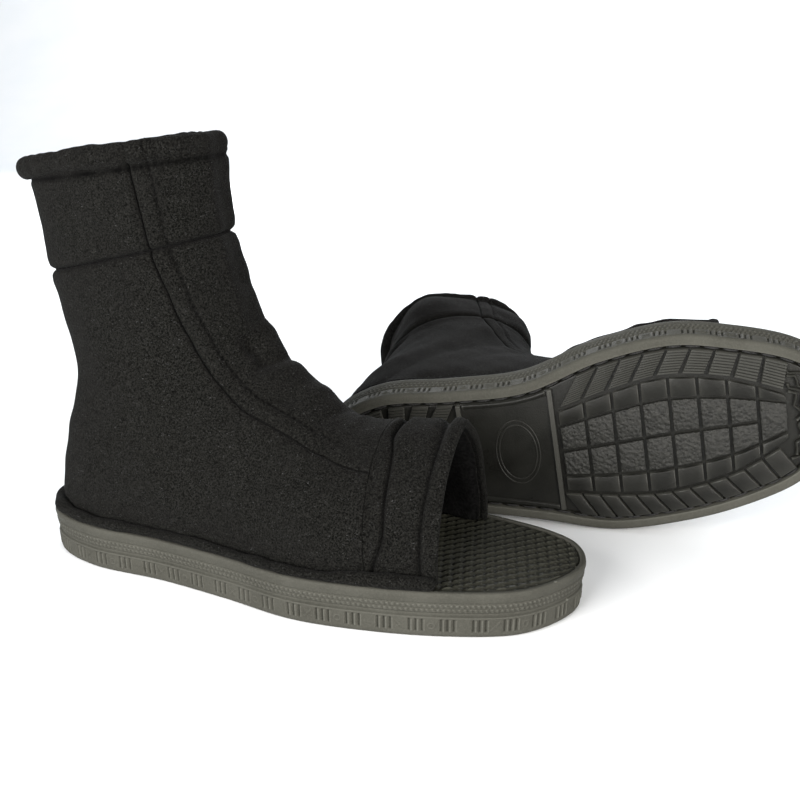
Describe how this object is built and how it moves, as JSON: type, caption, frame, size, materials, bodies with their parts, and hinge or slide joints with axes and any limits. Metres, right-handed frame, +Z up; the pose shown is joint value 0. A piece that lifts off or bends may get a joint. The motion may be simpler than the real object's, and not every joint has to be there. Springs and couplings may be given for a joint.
{
  "type": "open-toed ankle boots",
  "caption": "Pair of open-toed pull-on cloth ankle boots on flat moulded soles, one standing and one lying on its side behind it.",
  "frame": {"origin": "centre of the pair's footprint, on the floor that both boots rest on", "axes": "+Z up; +X from the standing boot's heel to its toe; the standing (right) boot's outer side faces -Y, and the left boot lies behind it towards +Y"},
  "size_m": [0.3508, 0.3192, 0.1924],
  "materials": {
    "shell_fabric": "brushed stretch knit bonded to thin foam, matt, with pale lint",
    "lining_fabric": "smooth knit lining, matt",
    "collar_foam": "soft open-cell foam sheet",
    "counter_board": "stiffened fibre board",
    "midsole_pvc": "moulded taupe-grey soft PVC, satin, textured sidewall",
    "tread_rubber": "moulded dark rubber tread, satin with glossy edges",
    "footbed_pvc": "moulded dark footbed with a basket-weave emboss",
    "thread": "twisted black sewing thread"
  },
  "bodies": {
    "right_boot": {"right_midsole": "midsole_pvc", "right_tread_plate": "tread_rubber", "right_footbed": "footbed_pvc", "right_channel_stitch": "thread", "right_toe_band": "shell_fabric", "right_front_panel": "shell_fabric", "right_lateral_quarter": "shell_fabric", "right_medial_quarter": "shell_fabric", "right_cuff_front": "shell_fabric", "right_cuff_lateral": "shell_fabric", "right_cuff_medial": "shell_fabric", "right_collar_foam": "collar_foam", "right_heel_counter": "counter_board", "right_lining": "lining_fabric", "right_top_hem": "shell_fabric", "right_welt_bead": "shell_fabric"},
    "left_boot": {"left_midsole": "midsole_pvc", "left_tread_plate": "tread_rubber", "left_footbed": "footbed_pvc", "left_channel_stitch": "thread", "left_toe_band": "shell_fabric", "left_front_panel": "shell_fabric", "left_lateral_quarter": "shell_fabric", "left_medial_quarter": "shell_fabric", "left_cuff_front": "shell_fabric", "left_cuff_lateral": "shell_fabric", "left_cuff_medial": "shell_fabric", "left_collar_foam": "collar_foam", "left_heel_counter": "counter_board", "left_lining": "lining_fabric", "left_top_hem": "shell_fabric", "left_welt_bead": "shell_fabric"}
  },
  "joints": [
    {"name": "left_boot_lift", "type": "slide", "parent": "right_boot", "child": "left_boot", "axis": [0, 0, 1], "range_m": [0, 0.25]}
  ]
}
